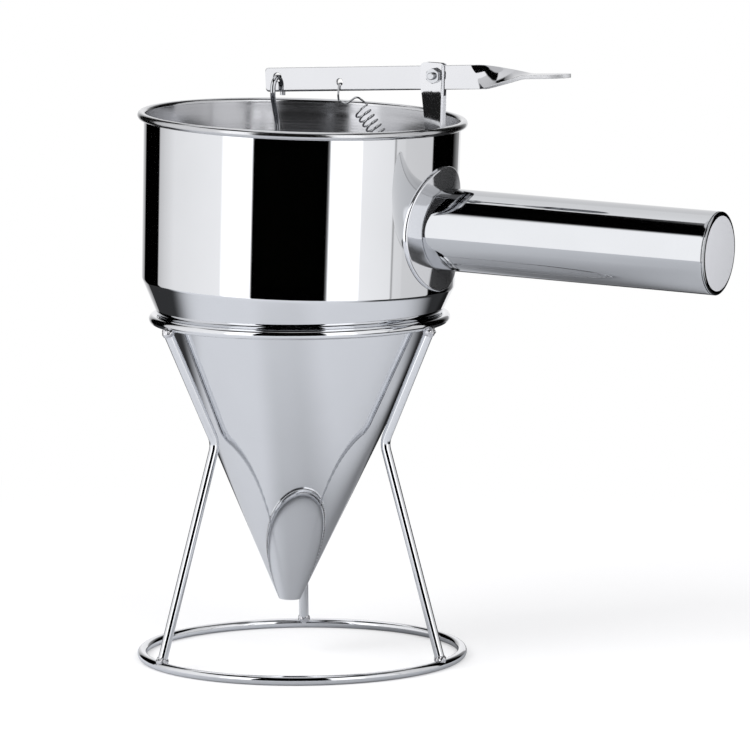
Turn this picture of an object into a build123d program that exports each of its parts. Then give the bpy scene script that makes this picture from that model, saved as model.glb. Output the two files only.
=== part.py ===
from build123d import *

import os
from math import cos, pi, radians, sin, sqrt, tan

# A batter dispenser: a funnel with a side handle and a thumb lever that lifts a plug off its outlet,
# sitting in a wire stand. Millimetres, +Z up, origin on the table on the stand's axis, handle along +X.

# Stand: round wire, two rings and three bent legs
WIRE_RADIUS = 2.0
BASE_RING_RADIUS = 66.1
UPPER_RING_Z = 141.3
LEG_TOP_Z = 139.4
LEG_TOP_OUTSET = 1.6          # leg's top axis outside the upper ring's centreline
LEG_BEND_RADIUS = 39.8        # where the leg turns, from the stand's axis
LEG_BEND_Z = 91.9
LEG_BEND_FILLET = 9.0
LEG_NAMES = ("rear", "left", "right")
FIRST_LEG_ANGLE = 116.0       # rear leg, from the handle; the others follow at equal steps
WELD_RADIUS = 2.9
WELD_TOP_SHIFT = 0.8          # bead's centre from the end of the leg's axis, along the leg
WELD_FOOT_SHIFT = 2.2
WELD_CLEARANCE = 0.3          # bead to funnel

# Funnel: spun sheet, a slightly tapered cup on a straight cone, rolled lip
SHEET = 0.7
CONE_HALF_ANGLE = 24.24
CONE_APEX_Z = 13.7
OUTLET_RADIUS = 4.5           # outside, at the cut-off tip
CUP_FOOT_RADIUS = 64.2        # outside, where the cup meets the cone
CUP_TOP_RADIUS = 64.9         # outside, under the lip
SHOULDER_FILLET = 3.5
LIP_Z = 223.0                 # centre of the rolled lip
LIP_ROLL_RADIUS = 1.65
LIP_ROLL_END = -100.0         # angle at which the roll stops short of the wall
SEAT_GAP = 0.2                # cone to upper ring
LEAN = 2.22                   # the handle's weight tips the funnel in the ring, degrees

# Handle: saddle plate, tube and end cap
HANDLE_ROOT = 3.9             # from the saddle to where the tube is straight
HANDLE_ROOT_ANGLE = 4.5       # degrees that the root widens towards the saddle
HANDLE_Z = 182.8
HANDLE_RADIUS = 16.7
HANDLE_SHEET = 1.0
HANDLE_END_X = 184.8
CAP_SHEET = 0.9
CAP_DOME = 0.9
CAP_SKIRT = 5.0               # depth inside the tube
CAP_CORNER = 0.8              # rounding of the cap's edge
FLANGE_RADIUS = 25.5
FLANGE_THICKNESS = 1.2

# Pivot: a small screw through both ears, nut on the near side
PIVOT_ABOVE_LIP = 21.9
SCREW_RADIUS = 1.5
SCREW_END = 4.4               # beyond the near ear
SCREW_HEAD_RADIUS = 2.75
SCREW_HEAD_HEIGHT = 2.0
SCREW_HEAD_DOME = 1.0
SCREW_CHAMFER = 0.3
NUT_FLATS = 5.5
NUT_HEIGHT = 2.4
NUT_BEVEL = 0.3               # how far the outer face's circle lies inside the corners
PIVOT_CLEARANCE = 0.06

# Lever bracket: a folded clevis whose web stands against the inside of the cup, its cheeks opened
# out below the lever. Depths are from the web's back.
BRACKET_CLEARANCE = 0.1       # web's back to the cup
BRACKET_SHEET = 0.9
BRACKET_GAP = 2.2             # between the ears
FOLD_RADIUS = 1.0
PIVOT_DEPTH = 3.85
EAR_DEPTH = 10.35
EAR_ABOVE_PIVOT = 5.1
EAR_CORNER = 2.0
WEB_BELOW_PIVOT = 8.0
NECK_BELOW_PIVOT = 3.5        # under this height the ears taper and start to open out
WAIST_BELOW_PIVOT = 7.9       # where they are fully open
WAIST_DEPTH = 8.55
CHEEK_FLARE = 12.0            # degrees that each cheek opens
EAR_FOOT_BELOW_LIP = 29.0
EAR_FOOT_DEPTH = 2.75
TAB_BELOW_LIP = 33.0          # underside of the spring tab
TAB_DEPTH = 9.15
TAB_HOLE_DEPTH = 6.35
TAB_HOLE_RADIUS = 1.1
BEAD_RADIUS = 1.5             # weld beads down the bracket's edges
BEAD_TOP_BELOW_LIP = 9.0
BEAD_LENGTH = 18.0

# Lever: flat bar on edge, a quarter twist, then a flat thumb paddle
LEVER_THICKNESS = 1.6
LEVER_HEIGHT = 9.8
LEVER_RISE = 4.65             # degrees above square to the funnel's axis
LEVER_INNER = 77.3            # places along the bar are from the pivot
TWIST_START = 15.6
TWIST_END = 38.6
PADDLE_TIP = 59.0
PIVOT_ABOVE_CENTRE = 0.9
LEVER_CORNER = 1.3
PADDLE_ROUND = 9.0            # length of the elliptical tip
TWIST_STATIONS = 8
ROD_HOLE = (-71.83, 0.12)     # along the bar and above the pivot
ROD_HOLE_RADIUS = 1.85
SPRING_HOLE = (-43.52, -2.18)
SPRING_HOLE_RADIUS = 1.45

# Valve: hooked wire and plug. The hook's heights are below its crown, which hangs in the lever's hole.
ROD_RADIUS = 1.1
HOOK_HALF_WIDTH = 4.5
HOOK_FILLET = 4.2
HOOK_END = 7.7
NECK_TOP = 7.6
NECK_FOOT = 17.7
NECK_FILLET = 9.0
PLUG_RADIUS = 6.6
PLUG_NOSE_RADIUS = 4.4
PLUG_BODY = 11.0
PLUG_CHAMFER = 0.8
PLUG_GAP = 0.15
ROD_SOCKET = 8.0

# Return spring: extension spring from the lever to the bracket's tab
SPRING_WIRE = 0.4             # wire radius
SPRING_RADIUS = 3.1           # coil centreline
SPRING_TURNS = 13
SPRING_TOP = (9.7, -10.8)     # upper end of the coil's axis from the lever's hole, X and Z
SPRING_BOTTOM = (-9.9, 15.0)  # lower end from the tab's hole
SPRING_LEAD = 1.6             # straight wire between the coil and each hook
SPRING_UPPER_HOOK = [         # from the lever's hole; the wire's end comes first
    (0.2, 1.35, -2.9),
    (0.0, 1.35, -0.6),
    (0.0, -1.35, -0.6),
    (-0.2, -1.35, -5.2),
    (-0.4, -0.3, -7.8),
    (3.0, 0.0, -8.7),
    (7.7, 0.0, -5.3),
]
SPRING_UPPER_BENDS = [0.9, 0.9, 1.5, 1.4, 2.5, 2.0, 0.9]
SPRING_LOWER_HOOK = [         # from the tab's hole, at the tab's underside; the wire's end comes last
    (-6.0, 0.0, 12.4),
    (0.0, 0.0, 6.5),
    (0.0, 0.0, -0.6),
    (-4.1, 0.0, -0.6),
    (-4.1, 0.0, 2.5),
]
SPRING_LOWER_BENDS = [0.9, 1.6, 2.0, 1.3, 1.3]

HALF_ANGLE = radians(CONE_HALF_ANGLE)
UPPER_RING_RADIUS = (
    WIRE_RADIUS + SEAT_GAP + (UPPER_RING_Z - CONE_APEX_Z) * sin(HALF_ANGLE)
) / cos(HALF_ANGLE)
SEAT_CENTRE_Z = UPPER_RING_Z + UPPER_RING_RADIUS * tan(HALF_ANGLE)
CUP_FOOT_Z = CONE_APEX_Z + CUP_FOOT_RADIUS / tan(HALF_ANGLE)
CUP_TAPER = (CUP_TOP_RADIUS - CUP_FOOT_RADIUS) / (LIP_Z - CUP_FOOT_Z)
EAR_FACE = BRACKET_GAP / 2 + BRACKET_SHEET
PIVOT_Z = LIP_Z + PIVOT_ABOVE_LIP
BRACKET_TOP_Z = PIVOT_Z + EAR_ABOVE_PIVOT
NECK_Z = PIVOT_Z - NECK_BELOW_PIVOT
WAIST_Z = PIVOT_Z - WAIST_BELOW_PIVOT
EAR_FOOT_Z = LIP_Z - EAR_FOOT_BELOW_LIP
TAB_Z = LIP_Z - TAB_BELOW_LIP


def cup_radius(height, inset=0.0):
    return CUP_FOOT_RADIUS + CUP_TAPER * (height - CUP_FOOT_Z) - inset


BRACKET_BACK_X = min(cup_radius(TAB_Z, SHEET), cup_radius(LIP_Z, SHEET)) - BRACKET_CLEARANCE
EAR_FRONT_X = BRACKET_BACK_X - EAR_DEPTH
PIVOT_X = BRACKET_BACK_X - PIVOT_DEPTH
TAB_HOLE_X = BRACKET_BACK_X - TAB_HOLE_DEPTH


def lean(shape):
    """Tip a shape of the upright funnel about the centre of its seat."""
    return shape.rotate(Axis((0, 0, SEAT_CENTRE_Z), (0, 1, 0)), LEAN)


def revolved(outline):
    """Turn a closed outline, drawn as (radius, height), about Z."""
    return revolve(Plane.XZ * make_face(outline), Axis.Z, 360)


def wire_rod(path, radius):
    """Sweep a round section along a wire."""
    start = path.edges()[0]
    section = Plane(start @ 0, z_dir=start % 0) * Circle(radius)
    return sweep(section, path=path)


def along_handle(radius, start, end):
    """A round bar on the handle's axis."""
    return Plane((start, 0, HANDLE_Z), z_dir=(1, 0, 0)) * Cylinder(
        radius, end - start, align=(Align.CENTER, Align.CENTER, Align.MIN)
    )


def along_y(radius, x, z, start, end):
    """A round bar parallel to Y."""
    return Plane((x, start, z), z_dir=(0, 1, 0)) * Cylinder(
        radius, end - start, align=(Align.CENTER, Align.CENTER, Align.MIN)
    )


def slab(x, y, z):
    """A box from its limits along each axis."""
    size = [limit[1] - limit[0] for limit in (x, y, z)]
    centre = [(limit[0] + limit[1]) / 2 for limit in (x, y, z)]
    return Pos(*centre) * Box(*size)


# ---------------------------------------------------------------- stand


def ring(radius, height):
    return Pos(0, 0, height) * Torus(radius, WIRE_RADIUS)


def leg_points(index):
    """Axis of a leg: upper ring, bend, base ring."""
    angle = FIRST_LEG_ANGLE + 360.0 * index / len(LEG_NAMES)
    radii = (UPPER_RING_RADIUS + LEG_TOP_OUTSET, LEG_BEND_RADIUS, BASE_RING_RADIUS)
    heights = (LEG_TOP_Z, LEG_BEND_Z, WIRE_RADIUS)
    direction = (cos(radians(angle)), sin(radians(angle)))
    return [(r * direction[0], r * direction[1], z) for r, z in zip(radii, heights)]


def leg(points, rings):
    path = FilletPolyline(*points, radius=LEG_BEND_FILLET)
    rod = wire_rod(path, WIRE_RADIUS)
    return (rod - rings[0] - rings[1]).solids().sort_by(SortBy.VOLUME)[-1]


def weld(end, bend, shift, parts):
    """A bead around the end of a leg, against the ring."""
    along = (Vector(*bend) - Vector(*end)).normalized()
    centre = Vector(*end) + along * shift
    bead = Pos(centre) * Sphere(WELD_RADIUS)
    for part in parts:
        bead = bead - part
    return bead.solids().sort_by(SortBy.VOLUME)[-1]


def stand():
    upper = ring(UPPER_RING_RADIUS, UPPER_RING_Z)
    base = ring(BASE_RING_RADIUS, WIRE_RADIUS)
    clear_of = lean(funnel_solid(-WELD_CLEARANCE))
    nodes = {"upper_ring": upper, "base_ring": base}
    for index, name in enumerate(LEG_NAMES):
        top, bend, foot = leg_points(index)
        rod = leg((top, bend, foot), (upper, base))
        nodes["leg_" + name] = rod
        nodes["weld_top_" + name] = weld(top, bend, WELD_TOP_SHIFT, (upper, rod, clear_of))
        nodes["weld_foot_" + name] = weld(foot, bend, WELD_FOOT_SHIFT, (base, rod))
    return nodes


# ---------------------------------------------------------------- funnel


def cone_radius(height, inset=0.0):
    return (height - CONE_APEX_Z) * tan(HALF_ANGLE) - inset / cos(HALF_ANGLE)


def wall_points(inset):
    """Tip, shoulder and lip ends of the wall's outline, moved inward by inset."""
    shoulder = (
        CUP_FOOT_RADIUS - CUP_TAPER * CUP_FOOT_Z - inset
        + CONE_APEX_Z * tan(HALF_ANGLE) + inset / cos(HALF_ANGLE)
    ) / (tan(HALF_ANGLE) - CUP_TAPER)
    tip = CONE_APEX_Z + OUTLET_RADIUS / tan(HALF_ANGLE)
    return [
        (cone_radius(tip, inset), tip),
        (cup_radius(shoulder, inset), shoulder),
        (cup_radius(LIP_Z, inset), LIP_Z),
    ]


def wall_line(inset, fillet):
    return FilletPolyline(*wall_points(inset), radius=fillet)


def lip_arc(radius):
    """One face of the rolled lip, from the wall over the top and down outside."""
    centre = Vector(CUP_TOP_RADIUS - SHEET + LIP_ROLL_RADIUS, LIP_Z)
    angles = (180.0, (180.0 + LIP_ROLL_END) / 2, LIP_ROLL_END)
    return ThreePointArc(*[centre + Vector(radius, 0).rotate(Axis.Z, angle) for angle in angles])


def funnel_shell():
    outside = wall_line(0.0, SHOULDER_FILLET)
    inside = wall_line(SHEET, SHOULDER_FILLET - SHEET)
    under = lip_arc(LIP_ROLL_RADIUS - SHEET)
    over = lip_arc(LIP_ROLL_RADIUS)
    tip = Line(outside @ 0, inside @ 0)
    edge = Line(under @ 1, over @ 1)
    return revolved(outside + under + edge + over + inside + tip)


def funnel_solid(inset=0.0):
    """The funnel filled to a flat top, for cutting and trimming what meets it."""
    points = wall_points(inset)
    wall = wall_line(inset, SHOULDER_FILLET - inset)
    top = (0, points[2][1])
    bottom = (0, points[0][1])
    return revolved(wall + Line(points[2], top) + Line(top, bottom) + Line(bottom, points[0]))


def cup_jacket(thickness):
    """A sleeve of the given thickness on the outside of the cup."""
    low, high = CUP_FOOT_Z - FLANGE_RADIUS, LIP_Z
    corners = [
        (cup_radius(low), low),
        (cup_radius(low) + thickness, low),
        (cup_radius(high) + thickness, high),
        (cup_radius(high), high),
    ]
    return revolved(Polyline(*corners, close=True))


def handle_flange():
    """Saddle plate on the cup, which closes the inner end of the tube."""
    plate = cup_jacket(FLANGE_THICKNESS) & along_handle(FLANGE_RADIUS, CUP_FOOT_RADIUS / 2, HANDLE_END_X)
    return plate.solids().sort_by(SortBy.VOLUME)[-1]


def handle_tube(saddle):
    """Tube whose root widens a little and is coped to the saddle."""
    straight = CUP_TOP_RADIUS + FLANGE_THICKNESS + HANDLE_ROOT
    length = straight - CUP_FOOT_RADIUS / 2
    root = Plane((straight, 0, HANDLE_Z), z_dir=(-1, 0, 0)) * Cone(
        HANDLE_RADIUS,
        HANDLE_RADIUS + length * tan(radians(HANDLE_ROOT_ANGLE)),
        length,
        align=(Align.CENTER, Align.CENTER, Align.MIN),
    )
    tube = root + along_handle(HANDLE_RADIUS, straight, HANDLE_END_X)
    tube = tube - along_handle(HANDLE_RADIUS - HANDLE_SHEET, 0, HANDLE_END_X) - saddle
    return tube.solids().sort_by(SortBy.VOLUME)[-1]


def dome_arc(radius, crown_x):
    """Half of the cap's domed face, from its edge to the crown, as (radius, place along the handle)."""
    sphere = (HANDLE_RADIUS**2 + CAP_DOME**2) / (2 * CAP_DOME)
    points = [(r, crown_x - sphere + sqrt(sphere**2 - r**2)) for r in (radius, radius / 2, 0)]
    return ThreePointArc(*points)


def handle_end_cap():
    """Domed sheet disc with a skirt that fits inside the tube."""
    bore = HANDLE_RADIUS - HANDLE_SHEET
    crown = HANDLE_END_X + CAP_SHEET + CAP_DOME
    face = dome_arc(HANDLE_RADIUS, crown)
    back = dome_arc(bore - CAP_SHEET, crown - CAP_SHEET)
    skirt = Polyline(
        back @ 0,
        (bore - CAP_SHEET, HANDLE_END_X - CAP_SKIRT),
        (bore, HANDLE_END_X - CAP_SKIRT),
        (bore, HANDLE_END_X),
        (HANDLE_RADIUS, HANDLE_END_X),
        face @ 0,
    )
    section = make_face(skirt + face + Line(face @ 1, back @ 1) + back)
    section = fillet(section.vertices().sort_by_distance(face @ 0)[0], CAP_CORNER)
    cap = revolve(Plane.XZ * section, Axis.Z, 360)
    return Pos(0, 0, HANDLE_Z) * cap.rotate(Axis.Y, 90)


# ---------------------------------------------------------------- bracket and pivot


def channel_section(flare, height):
    """The folded U at a height, each cheek opened by an angle about its fold."""
    outside = EAR_FACE + EAR_DEPTH * tan(radians(flare))
    inside = BRACKET_GAP / 2 + (EAR_DEPTH - BRACKET_SHEET) * tan(radians(flare))
    web_face = BRACKET_BACK_X - BRACKET_SHEET
    outline = Polyline(
        (EAR_FRONT_X, outside),
        (BRACKET_BACK_X, EAR_FACE),
        (BRACKET_BACK_X, -EAR_FACE),
        (EAR_FRONT_X, -outside),
        (EAR_FRONT_X, -inside),
        (web_face, -BRACKET_GAP / 2),
        (web_face, BRACKET_GAP / 2),
        (EAR_FRONT_X, inside),
        close=True,
    )
    section = make_face(outline)
    return Pos(0, 0, height) * fillet(section.vertices().group_by(Axis.X)[-1], FOLD_RADIUS)


def bracket_channel():
    """Two ears joined by the web, full height: straight above, opened out below."""
    ears = extrude(channel_section(0, NECK_Z), BRACKET_TOP_Z - NECK_Z)
    cheeks = extrude(channel_section(CHEEK_FLARE, EAR_FOOT_Z), WAIST_Z - EAR_FOOT_Z)
    neck = loft([channel_section(CHEEK_FLARE, WAIST_Z), channel_section(0, NECK_Z)], ruled=True)
    return cheeks + neck + ears


def ear_side():
    """Side view of the ears, their top corners rounded, as a bar across both."""
    outline = Polyline(
        (BRACKET_BACK_X - WAIST_DEPTH, WAIST_Z),
        (EAR_FRONT_X, NECK_Z),
        (EAR_FRONT_X, BRACKET_TOP_Z),
        (BRACKET_BACK_X, BRACKET_TOP_Z),
        (BRACKET_BACK_X, EAR_FOOT_Z),
        (BRACKET_BACK_X - EAR_FOOT_DEPTH, EAR_FOOT_Z),
        close=True,
    )
    side = make_face(outline)
    side = fillet(side.vertices().group_by(Axis.Y)[-1], EAR_CORNER)
    return extrude(Plane.XZ * side, EAR_DEPTH, both=True)


def spring_tab():
    """The web's lower end, bent inward to hold the spring."""
    web_face = BRACKET_BACK_X - BRACKET_SHEET
    tab_top = TAB_Z + BRACKET_SHEET
    tab_end = BRACKET_BACK_X - TAB_DEPTH
    outline = Polyline(
        (tab_end, TAB_Z),
        (BRACKET_BACK_X, TAB_Z),
        (BRACKET_BACK_X, EAR_FOOT_Z),
        (web_face, EAR_FOOT_Z),
        (web_face, tab_top),
        (tab_end, tab_top),
        close=True,
    )
    strip = make_face(outline)
    corner = strip.vertices().sort_by_distance((BRACKET_BACK_X, TAB_Z))[0]
    strip = extrude(Plane.XZ * fillet(corner, FOLD_RADIUS), EAR_FACE, both=True)
    return strip - Pos(TAB_HOLE_X, 0, TAB_Z) * Cylinder(TAB_HOLE_RADIUS, 4 * BRACKET_SHEET)


def lever_bracket():
    body = (bracket_channel() & ear_side()) + spring_tab()
    open_top = slab(
        (BRACKET_BACK_X - 2 * BRACKET_SHEET, BRACKET_BACK_X + BRACKET_SHEET),
        (-BRACKET_GAP / 2, BRACKET_GAP / 2),
        (PIVOT_Z - WEB_BELOW_PIVOT, BRACKET_TOP_Z + BRACKET_SHEET),
    )
    return body - open_top - along_y(SCREW_RADIUS, PIVOT_X, PIVOT_Z, -2 * EAR_FACE, 2 * EAR_FACE)


def bracket_weld(side, bracket):
    """Bead down one edge of the bracket, between its web and the cup."""
    top = (BRACKET_BACK_X - BRACKET_SHEET / 2, side * EAR_FACE, LIP_Z - BEAD_TOP_BELOW_LIP)
    bead = Pos(*top) * Cylinder(BEAD_RADIUS, BEAD_LENGTH, align=(Align.CENTER, Align.CENTER, Align.MAX))
    bead = (bead & funnel_solid(SHEET)) - bracket
    return bead.solids().sort_by(SortBy.VOLUME)[-1]


def pivot_screw():
    shank = along_y(SCREW_RADIUS, PIVOT_X, PIVOT_Z, -EAR_FACE - SCREW_END, EAR_FACE)
    shank = chamfer(shank.edges().group_by(Axis.Y)[0], SCREW_CHAMFER)
    head = along_y(SCREW_HEAD_RADIUS, PIVOT_X, PIVOT_Z, EAR_FACE, EAR_FACE + SCREW_HEAD_HEIGHT)
    head = fillet(head.edges().group_by(Axis.Y)[-1], SCREW_HEAD_DOME)
    return shank + head


def pivot_nut():
    """Hex nut with chamfered corners, flat toward the ear."""
    top = Plane((PIVOT_X, -EAR_FACE, PIVOT_Z), z_dir=(0, -1, 0))
    hexagon = top * extrude(RegularPolygon(NUT_FLATS / 2, 6, major_radius=False), NUT_HEIGHT)
    corner = NUT_FLATS / sqrt(3)
    crown = top * Cone(
        corner - NUT_BEVEL + NUT_HEIGHT, corner - NUT_BEVEL, NUT_HEIGHT,
        align=(Align.CENTER, Align.CENTER, Align.MIN),
    )
    bore = along_y(SCREW_RADIUS, PIVOT_X, PIVOT_Z, -EAR_FACE - NUT_HEIGHT, -EAR_FACE)
    return (hexagon & crown) - bore


# ---------------------------------------------------------------- lever


def lever_place():
    """Where the bar's own frame, with the pivot at its origin, sits on the upright funnel."""
    return Pos(PIVOT_X, 0, PIVOT_Z) * Rot(0, -LEVER_RISE, 0)


def bar_section(station):
    """Section of the twist at 0 to 1 of its length; the bar's upper edge turns to the far side."""
    turn = -90.0 * (1 - cos(pi * station)) / 2
    x = TWIST_START + station * (TWIST_END - TWIST_START)
    plane = Plane((x, 0, -PIVOT_ABOVE_CENTRE), x_dir=(0, 1, 0), z_dir=(1, 0, 0))
    return plane * Rot(0, 0, turn) * Rectangle(LEVER_THICKNESS, LEVER_HEIGHT)


def from_bar(x, z):
    """Where a point of the bar's own frame lies on the upright funnel."""
    rise = radians(LEVER_RISE)
    return (PIVOT_X + x * cos(rise) - z * sin(rise), PIVOT_Z + z * cos(rise) + x * sin(rise))


def paddle(middle):
    """Flat thumb piece with an elliptical tip."""
    straight = PADDLE_TIP - PADDLE_ROUND
    plan = Pos(straight, 0) * Ellipse(PADDLE_ROUND, LEVER_HEIGHT / 2)
    plan = plan + Pos(straight, 0) * Rectangle(
        straight - TWIST_END, LEVER_HEIGHT, align=(Align.MAX, Align.CENTER)
    )
    return extrude(Pos(0, 0, middle - LEVER_THICKNESS / 2) * plan, LEVER_THICKNESS)


def thumb_lever():
    half = LEVER_HEIGHT / 2
    middle = -PIVOT_ABOVE_CENTRE
    bar = slab(
        (-LEVER_INNER, TWIST_START),
        (-LEVER_THICKNESS / 2, LEVER_THICKNESS / 2),
        (middle - half, middle + half),
    )
    bar = fillet(bar.edges().filter_by(Axis.Y).group_by(Axis.X)[0], LEVER_CORNER)
    twist = loft([bar_section(i / TWIST_STATIONS) for i in range(TWIST_STATIONS + 1)])
    lever = bar + twist + paddle(middle)
    holes = (
        ((0, 0), SCREW_RADIUS + PIVOT_CLEARANCE),
        (ROD_HOLE, ROD_HOLE_RADIUS),
        (SPRING_HOLE, SPRING_HOLE_RADIUS),
    )
    for (x, z), radius in holes:
        lever = lever - along_y(radius, x, z, -LEVER_HEIGHT, LEVER_HEIGHT)
    return lever_place() * lever


# ---------------------------------------------------------------- valve


def plug_height(radius):
    """Height at which the plug's seat has the given radius."""
    return CONE_APEX_Z + (radius + (SHEET + PLUG_GAP) / cos(HALF_ANGLE)) / tan(HALF_ANGLE)


def valve_rod():
    plug_top = plug_height(PLUG_RADIUS) + PLUG_BODY
    x, crown = from_bar(*ROD_HOLE)
    points = [
        (0, 0, plug_top - ROD_SOCKET),
        (x, 0, crown - NECK_FOOT),
        (x, -HOOK_HALF_WIDTH, crown - NECK_TOP),
        (x, -HOOK_HALF_WIDTH, crown),
        (x, HOOK_HALF_WIDTH, crown),
        (x, HOOK_HALF_WIDTH, crown - HOOK_END),
    ]
    radii = [NECK_FILLET, NECK_FILLET, HOOK_FILLET, HOOK_FILLET]
    return wire_rod(FilletPolyline(*points, radius=radii), ROD_RADIUS)


def valve_plug(rod):
    seat = plug_height(PLUG_RADIUS)
    top = seat + PLUG_BODY
    outline = Polyline(
        (0, plug_height(PLUG_NOSE_RADIUS)),
        (PLUG_NOSE_RADIUS, plug_height(PLUG_NOSE_RADIUS)),
        (PLUG_RADIUS, seat),
        (PLUG_RADIUS, top - PLUG_CHAMFER),
        (PLUG_RADIUS - PLUG_CHAMFER, top),
        (0, top),
        close=True,
    )
    return revolved(outline) - rod


# ---------------------------------------------------------------- spring


def spring_frame(top, bottom):
    """Frame of the coil, Z down its axis and X across it, and the coil's length."""
    run = Vector(bottom[0] - top[0], 0, bottom[1] - top[1])
    down = run.normalized()
    across = Vector(-down.Z, 0, down.X)
    return Plane((top[0], 0, top[1]), x_dir=across, z_dir=down), run.length


def return_spring():
    hole_x, hole_z = from_bar(*SPRING_HOLE)
    top = (hole_x + SPRING_TOP[0], hole_z + SPRING_TOP[1])
    bottom = (TAB_HOLE_X + SPRING_BOTTOM[0], TAB_Z + SPRING_BOTTOM[1])
    frame, length = spring_frame(top, bottom)
    helix = frame * Helix(length / SPRING_TURNS, length, SPRING_RADIUS)
    upper = [(hole_x + x, y, hole_z + z) for x, y, z in SPRING_UPPER_HOOK]
    lower = [(TAB_HOLE_X + x, y, TAB_Z + z) for x, y, z in SPRING_LOWER_HOOK]
    lead_in = helix @ 0 - (helix % 0) * SPRING_LEAD
    lead_out = helix @ 1 + (helix % 1) * SPRING_LEAD
    upper_path = FilletPolyline(*upper, lead_in, helix @ 0, radius=SPRING_UPPER_BENDS)
    lower_path = FilletPolyline(helix @ 1, lead_out, *lower, radius=SPRING_LOWER_BENDS)
    path = Wire([*upper_path.edges(), *helix.edges(), *lower_path.edges()])
    return wire_rod(path, SPRING_WIRE)


# ---------------------------------------------------------------- whole object


def upright_funnel():
    bracket = lever_bracket()
    rod = valve_rod()
    saddle = handle_flange()
    return {
        "funnel_shell": funnel_shell(),
        "handle_flange": saddle,
        "handle_tube": handle_tube(saddle),
        "handle_end_cap": handle_end_cap(),
        "lever_bracket": bracket,
        "bracket_weld_near": bracket_weld(-1, bracket),
        "bracket_weld_far": bracket_weld(1, bracket),
        "pivot_screw": pivot_screw(),
        "pivot_nut": pivot_nut(),
        "return_spring": return_spring(),
        "thumb_lever": thumb_lever(),
        "valve_rod": rod,
        "valve_plug": valve_plug(rod),
    }


def main():
    os.makedirs("parts", exist_ok=True)
    nodes = stand()
    for name, shape in upright_funnel().items():
        nodes[name] = lean(shape)
    for name, shape in nodes.items():
        export_step(shape, os.path.join("parts", name + ".step"))


main()
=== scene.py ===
"""A polished batter dispenser in its wire stand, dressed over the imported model.

Metres, +Z up; angles are given in degrees.
"""

import math

import bmesh
import bpy
from mathutils import Matrix, Vector
from mathutils import noise as field


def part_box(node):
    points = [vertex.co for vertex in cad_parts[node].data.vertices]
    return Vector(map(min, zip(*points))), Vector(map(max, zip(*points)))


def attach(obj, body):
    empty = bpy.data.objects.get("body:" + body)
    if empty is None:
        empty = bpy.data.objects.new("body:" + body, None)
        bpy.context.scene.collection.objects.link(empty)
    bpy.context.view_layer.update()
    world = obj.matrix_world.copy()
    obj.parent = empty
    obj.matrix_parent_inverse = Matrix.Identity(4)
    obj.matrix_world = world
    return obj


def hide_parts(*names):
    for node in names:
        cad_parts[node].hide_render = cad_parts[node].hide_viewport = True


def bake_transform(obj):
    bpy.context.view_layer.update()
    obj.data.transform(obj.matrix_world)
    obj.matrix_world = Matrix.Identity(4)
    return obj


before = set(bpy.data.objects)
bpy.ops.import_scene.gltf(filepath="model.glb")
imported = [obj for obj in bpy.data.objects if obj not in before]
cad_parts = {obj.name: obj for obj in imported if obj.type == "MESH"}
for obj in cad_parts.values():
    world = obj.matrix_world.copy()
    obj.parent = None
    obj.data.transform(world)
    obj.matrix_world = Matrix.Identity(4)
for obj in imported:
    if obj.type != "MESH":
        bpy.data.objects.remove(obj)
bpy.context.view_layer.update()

MM = 0.001

# Stand
WIRE = 2.0 * MM
UPPER_RING_RADIUS = 59.866 * MM
UPPER_RING_Z = 141.3 * MM
BASE_RING_RADIUS = 66.1 * MM
LEG_TOP_OUTSET = 1.6 * MM
LEG_TOP_Z = 139.4 * MM
LEG_BEND_RADIUS = 39.8 * MM
LEG_BEND_Z = 91.9 * MM
LEG_BEND_FILLET = 9.0 * MM
FIRST_LEG_ANGLE = -4.0
LEG_COUNT = 3

# Funnel, drawn upright and then leaned
LEAN = 2.22
SHEET = 0.7 * MM
CONE_HALF_ANGLE = math.radians(24.24)
CONE_APEX_Z = 13.7 * MM
OUTLET_RADIUS = 4.5 * MM
CUP_FOOT_RADIUS = 64.2 * MM
CUP_TOP_RADIUS = 64.9 * MM
SHOULDER_FILLET = 3.5 * MM
LIP_Z = 223.0 * MM
LIP_ROLL_RADIUS = 1.65 * MM
LIP_ROLL_END = -100.0
CUP_FOOT_Z = CONE_APEX_Z + CUP_FOOT_RADIUS / math.tan(CONE_HALF_ANGLE)
CUP_TAPER = (CUP_TOP_RADIUS - CUP_FOOT_RADIUS) / (LIP_Z - CUP_FOOT_Z)
SEAT_CENTRE_Z = UPPER_RING_Z + UPPER_RING_RADIUS * math.tan(CONE_HALF_ANGLE)

# Handle
HANDLE_Z = 182.8 * MM
HANDLE_RADIUS = 16.7 * MM
HANDLE_SHEET = 1.0 * MM
HANDLE_END_X = 184.8 * MM
CAP_CROWN_X = 186.6 * MM
CAP_DOME = 0.9 * MM
CAP_CORNER = Vector((2.2, 0.55)) * MM    # how far the edge turns down, along the radius and the axis
CAP_GROOVE = 0.45 * MM
CAP_FACE_END = 0.02 * MM      # the face's finish ends this far behind the corner's start
FLANGE_RADIUS = 25.5 * MM
FLANGE_THICKNESS = 1.2 * MM
FLANGE_EDGE = 0.6 * MM
TUBE_EDGE = 0.25 * MM

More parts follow.
